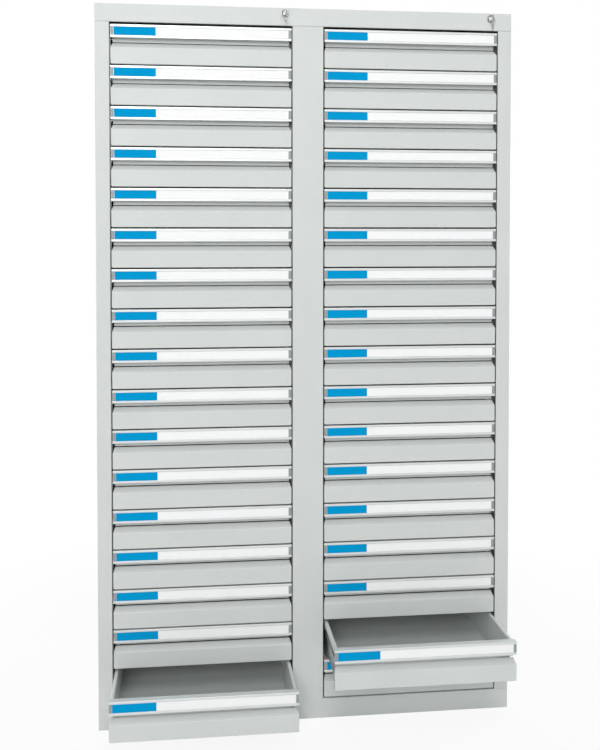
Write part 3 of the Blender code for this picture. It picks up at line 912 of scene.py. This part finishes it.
def slideMember(side):
    # the moving member: a channel on the tray's wall, with the rivets that hold it
    half = slide["sheet"] / 2
    web = tray["half"] + half
    path = [
        (slide["tip"], slide["bottom"] + half), (web, slide["bottom"] + half),
        (web, slide["top"] - half), (slide["tip"], slide["top"] - half),
    ]
    path = [(side * across, up) for across, up in path]
    start, end = slide["setback"], slide["setback"] + slide["length"]
    member = foldedStrip("Y", start, end, path, slide["sheet"], slide["fold"], slide["foldSteps"])
    parts = [(1, member)]
    for along in slide["rivets"]:
        head = rivetHead(slide["rivetRadius"], slide["rivetHeight"])
        turn = Matrix.Rotation(-side * math.pi / 2, 4, "Z")
        spot = (side * (web + half), start + along, (slide["bottom"] + slide["top"]) / 2)
        head.transform(Matrix.Translation(spot) @ turn)
        parts.append((1, head))
    return parts


def trayMesh():
    outline = circle(stud["radius"], (stud["setback"], stud["height"]), stud["steps"])
    pin = applied(extruded("X", tray["half"], stud["end"], outline), bevelled(stud["edge"], 2))
    wall = boxSurface(
        (-tray["half"], tray["front"], tray["floor"]),
        (tray["half"], tray["front"] + tray["sheet"], tray["frontTop"]))
    wall = applied(meshFrom(wall), cutEdge)
    return gathered((0, trayShell()), (0, wall), *slideMember(-1), *slideMember(1), (1, pin))


def buildDrawers():
    shapes = {
        "front": (frontMesh(), [drawerPaint], "drawer_front_", "grey_paint"),
        "rail": (railMesh(), [railMetal, capGrey], "grip_rail_", "rail_aluminium"),
        "label": (labelMesh(), [labelWhite, labelBlue], "label_strip_", "label_card"),
        "tray": (trayMesh(), [drawerPaint, zinc], "drawer_tray_", "grey_paint"),
    }
    lowest = cabinet["plinth"] + cabinet["gap"]
    for side, across in columns.items():
        for number in range(1, cabinet["drawers"] + 1):
            tag = f"{side}_{number:02d}"
            out = cabinet["pulledOut"].get((side, number), 0)
            at = (across, frontY - out, lowest + (cabinet["drawers"] - number) * cabinet["pitch"])
            for part, (mesh, finishes, start, slot) in shapes.items():
                node = (start if out else "drawer_") + tag  # a closed drawer is one node
                placed(f"{part}_{tag}", mesh, finishes, "drawer_" + tag, [node], at)


# Central locks, each drawn from the axis of its cylinder at the front face

lock = {
    "across": 0.206,  # from the column's middle
    "height": 1.786,
    "headRadius": 0.0105,
    "headThickness": 0.0025,
    "headEdge": ((0, 0.0009), (0.0003, 0.0003), (0.0009, 0)),  # inward and back from its outer edge
    "throat": ((0.0011, 0), (0.0007, 0.0003), (0.0003, 0.0005), (0, 0.0007)),  # outward and back
    "bodyRadius": 0.0092,
    "bodyLength": 0.021,
    "bore": 0.0070,
    "plugRadius": 0.0067,
    "plugProud": 0.0003,
    "plugEdge": 0.0004,
    "steps": 48,
}
cam = {
    "radius": 0.010,
    "width": 0.007,
    "front": 0.0215,
    "thickness": 0.003,
    "aim": -math.pi / 4,  # at rest, with the key upright
    "armSteps": 12,  # round each end of the arm
    "pinRadius": 0.002,
    "pinEnd": 0.0295,
    "pinSteps": 20,
}
key = {
    "thickness": 0.0022,
    "edge": 0.0003,
    "play": 0.0003,  # in the key slot
    "bladeHeight": 0.008,
    "bladeLength": 0.0177,
    "proud": 0.006,
    "bowRadius": 0.0075,
    "bowSteps": 36,
    "eyeRadius": 0.003,
    "eyeOffset": 0.002,
    "eyeSteps": 24,
    "bitDepth": 0.0016,
    "bits": (0.4, 0.9, 0.2, 1.0, 0.6),
    "bitHalf": 0.22,  # half of a bit's width, of the distance to the next
}
ring = {
    "radius": 0.0065,
    "wire": 0.00034,
    "turns": 2,
    "pitch": 0.0007,
    "steps": 36,  # a turn
    "drop": 0.002,  # of its top, below the middle of the key's eye
}
spare = {
    "bowRadius": 0.006,
    "bladeHeight": 0.005,
    "length": 0.0215,
    "eyeRise": 0.0009,  # of the eye's upper rim, over the foot of the ring
}


def housingMesh():
    head, body, bore = lock["headRadius"], lock["bodyRadius"], lock["bore"]
    face, seat, end = -lock["headThickness"], -cabinet["seat"], lock["bodyLength"]
    profile = [(bore, end), (body, end), (body, seat), (head, seat)]
    profile += [(head - inward, face + back) for inward, back in lock["headEdge"]]
    profile += [(bore + outward, face + back) for outward, back in lock["throat"]]
    return turned(profile, lock["steps"])


def keyOutline(bowRadius, bladeHeight, shoulder, tip):
    half = bladeHeight / 2
    opening, steps = math.asin(half / bowRadius), key["bowSteps"]
    arc = [opening + (math.tau - 2 * opening) * step / steps for step in range(steps + 1)]
    bow = [(bowRadius * math.cos(turn), bowRadius * math.sin(turn)) for turn in arc]
    pitch = (tip - shoulder) / (len(key["bits"]) + 1)
    bits = []
    for place, share in enumerate(key["bits"]):
        depth = key["bitDepth"] * share * bladeHeight / key["bladeHeight"]
        middle, reach = shoulder + pitch * (place + 1), pitch * key["bitHalf"]
        bits += [(middle - reach, depth - half), (middle + reach, depth - half)]
    return bow + [(shoulder, -half)] + bits + [(tip, 0), (tip - half / 2, half)]


def plugMesh():
    # the barrel with its key slot, and behind it the cam with its pin
    face = -lock["headThickness"] - lock["plugProud"]
    radius, end, edge = lock["plugRadius"], cam["front"], lock["plugEdge"]
    profile = [(0, face), (radius - edge, face), (radius, face + edge), (radius, end), (0, end)]
    barrel = turned(profile, lock["steps"])
    half, tall = key["thickness"] / 2 + key["play"], key["bladeHeight"] / 2 + key["play"]
    keyway = boxSurface((-half, face - cutOver, -tall), (half, key["bladeLength"] + key["play"], tall))
    barrel = cutOut(barrel, meshFrom(keyway))
    aim, armRadius, steps = cam["aim"], cam["width"] / 2, cam["armSteps"]
    tip = (cam["radius"] * math.cos(aim), cam["radius"] * math.sin(aim))
    outline = []
    for start, (across, up) in ((aim - math.pi / 2, tip), (aim + math.pi / 2, (0, 0))):
        for step in range(steps + 1):
            turn = start + math.pi * step / steps
            outline.append((across + armRadius * math.cos(turn), up + armRadius * math.sin(turn)))
    back = cam["front"] + cam["thickness"]
    arm = applied(extruded("Y", cam["front"], back, outline), cutEdge)
    pinRound = circle(cam["pinRadius"], tip, cam["pinSteps"])
    pin = applied(extruded("Y", back, cam["pinEnd"], pinRound), cutEdge)
    return gathered((0, barrel), (0, arm), (0, pin))


def keyMesh():
    bow = -lock["headThickness"] - key["proud"] - key["bowRadius"]
    shoulder, tip = key["bowRadius"] + key["proud"], key["bladeLength"] - bow
    shape = keyOutline(key["bowRadius"], key["bladeHeight"], shoulder, tip)
    loop = [(bow + along, up) for along, up in shape]
    eye = circle(key["eyeRadius"], (bow - key["eyeOffset"], 0), key["eyeSteps"])
    return stamped(key["thickness"], key["edge"], loop, eye)


def ringMesh():
    # a split ring: two turns of spring wire, drawn from the top of the ring
    curve = bpy.data.curves.new("splitRing", "CURVE")
    curve.dimensions = "3D"
    curve.bevel_depth = ring["wire"]
    curve.bevel_resolution = 3
    curve.use_fill_caps = True
    spline = curve.splines.new("POLY")
    spline.points.add(ring["steps"] * ring["turns"])
    for place, point in enumerate(spline.points):
        turn = math.tau * place / ring["steps"]
        depth = ring["pitch"] * (place / ring["steps"] / ring["turns"] - 0.5)
        point.co = (ring["radius"] * math.sin(turn), depth, ring["radius"] * (math.cos(turn) - 1), 1)
    return meshOf(linked("splitRing", curve))


def spareKeyMesh():
    # hangs down from the ring, in the first key's plane
    bow, drop = spare["bowRadius"], -2 * ring["radius"] - key["eyeRadius"] + spare["eyeRise"]
    shape = keyOutline(bow, spare["bladeHeight"], bow, spare["length"] - bow)
    loop = [(up, drop - key["eyeOffset"] / 2 - along) for along, up in shape]
    eye = circle(key["eyeRadius"], (0, drop), key["eyeSteps"])
    return stamped(key["thickness"], key["edge"], loop, eye)


def buildLocks():
    eyeDepth = lock["headThickness"] + key["proud"] + key["bowRadius"] + key["eyeOffset"]
    shapes = {
        "lock_head": (housingMesh(), lockChrome, "carcass", "lock_housing_", "lock_chrome"),
        "lock_barrel": (plugMesh(), lockChrome, "lock_plug_", "lock_plug_", "lock_chrome"),
        "key": (keyMesh(), keyNickel, "lock_plug_", "lock_key_", "key_nickel"),
        "key_ring": (ringMesh(), keyNickel, "spare_key_", "spare_key_", "key_nickel"),
        "second_key": (spareKeyMesh(), keyNickel, "spare_key_", "spare_key_", "key_nickel"),
    }
    for side, across in columns.items():
        axis = Vector((across + lock["across"], frontY, lock["height"]))
        hook = axis + Vector((0, -eyeDepth, -ring["drop"]))
        for part, (mesh, finish, body, node, slot) in shapes.items():
            at = hook if part in ("key_ring", "second_key") else axis
            body = body if body == "carcass" else body + side
            placed(f"{part}_{side}", mesh, [finish], body, [node + side], at)


def finishFrameParts():
    # the parts that keep the frame's own mesh: the slide racks, and the lock bars in zinc darkened as
    # painted shade for the gaps in front of them
    for start, finish in (("runner_rack", zinc), ("lock_bar", paintedShadeZinc)):
        for name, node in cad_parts.items():
            if name.startswith(start):
                node.data.materials.clear()
                node.data.materials.append(finish)


def buildCabinet():
    buildSidePanel("left", -1)
    buildSidePanel("right", 1)
    buildPartition()
    buildBackPanel()
    buildTopPanel()
    buildPlinth()
    print("carcass built")
    buildDrawers()
    print("drawers built")
    buildLocks()
    finishFrameParts()
    print("locks built")


# Studio

studio = {
    "ambient": (0.97, 0.985, 1.0),
    "ambientStrength": 0.225,
    "floorColour": 0.93,
    "floorRoughness": 0.9,
    "floorSpecular": 0.1,
    "floorRadius": 14.0,
    "floorSegments": 96,
    "whiteShare": 0.88,  # of the floor under the cabinet, all of it further out
    "whiteFrom": 0.7,
    "whiteTo": 1.5,
}
lamps = {
    "keySoftbox": {"at": (-1.3, -6.3, 2.9), "aim": (0, 0, 0.9), "size": (2.0, 2.0), "power": 142},
    "topSoftbox": {"at": (-0.2, -5.0, 5.2), "aim": (0, -0.2, 0.8), "size": (3.0, 2.0), "power": 92},
    "overheadSoftbox": {"at": (-0.2, -1.9, 5.6), "aim": (0, -0.4, 0.2), "size": (2.4, 1.6), "power": 30},
    "leftSoftbox": {"at": (-4.6, 3.4, 1.5), "aim": (0, 0, 0.9), "size": (2.4, 1.6), "power": 168},
    "rightSoftbox": {"at": (4.6, 3.4, 1.5), "aim": (0, 0, 0.9), "size": (2.4, 1.6), "power": 168},
}


def seenDirectly(graph):
    # 1 for camera, mirror and glass rays, so that these meet plain white
    path = {name: graph.node("LightPath", output=name) for name in
            ("Is Camera Ray", "Is Glossy Ray", "Is Transmission Ray")}
    return path["Is Camera Ray"] | path["Is Glossy Ray"] | path["Is Transmission Ray"]


def buildWorld():
    world = bpy.data.worlds.new("studio")
    bpy.context.scene.world = world
    world.use_nodes = True
    graph = Graph(world.node_tree)
    graph.tree.nodes.clear()
    ambient = {"Color": studio["ambient"], "Strength": studio["ambientStrength"]}
    light = graph.node("Background", {}, ambient)
    white = graph.node("Background", {}, {"Color": 1.0, "Strength": 1.0})
    mixed = graph.node("MixShader", {}, {0: seenDirectly(graph), 1: light, 2: white})
    graph.node("OutputWorld", {}, {"Surface": mixed})


def buildFloor():
    work = bmesh.new()
    rim = {"segments": studio["floorSegments"], "radius": studio["floorRadius"]}
    bmesh.ops.create_circle(work, cap_ends=True, **rim)
    floor = linked("floor", meshFrom(work))
    pale = Finish("paleFloor", {
        "Roughness": studio["floorRoughness"],
        "Base Color": studio["floorColour"],
        "Specular IOR Level": studio["floorSpecular"],
    })
    here = pale.node("TexCoord", output="Object")
    away = pale.node("VectorMath", {"operation": "LENGTH"}, {0: here}, "Value")
    whiteness = pale.between(away, studio["whiteFrom"], studio["whiteTo"], studio["whiteShare"])
    white = pale.node("Emission", {}, {"Color": 1.0, "Strength": 1.0})
    lit = Wire(pale, pale.shader.outputs[0])
    mixed = pale.node("MixShader", {}, {0: whiteness * seenDirectly(pale), 1: lit, 2: white})
    pale.feed(pale.tree.nodes["Material Output"].inputs["Surface"], mixed)
    floor.data.materials.append(pale.material)


def buildLamps():
    for name, plan in lamps.items():
        data = bpy.data.lights.new(name, "AREA")
        data.shape = "RECTANGLE"
        data.size, data.size_y = plan["size"]
        data.energy = plan["power"]
        lamp = linked(name, data)
        lamp.location = plan["at"]
        beam = Vector(plan["aim"]) - Vector(plan["at"])
        lamp.rotation_euler = beam.to_track_quat("-Z", "Y").to_euler()


view = {
    "across": -0.308,
    "height": 1.237,
    "distance": 2.443,  # from the fronts
    "yaw": 6.715,
    "pitch": 1.673,
    "lens": 46.96,
    "shift": -0.150,
}


def buildCamera():
    data = bpy.data.cameras.new("camera")
    data.lens = view["lens"]
    data.shift_y = view["shift"]
    camera = linked("camera", data)
    camera.location = (view["across"], frontY - view["distance"], view["height"])
    camera.rotation_euler = (math.radians(90 - view["pitch"]), 0, math.radians(-view["yaw"]))
    bpy.context.scene.camera = camera
    bpy.context.scene.view_settings.view_transform = "Standard"


buildCamera()
buildCabinet()
buildWorld()
buildFloor()
buildLamps()
print("studio built")
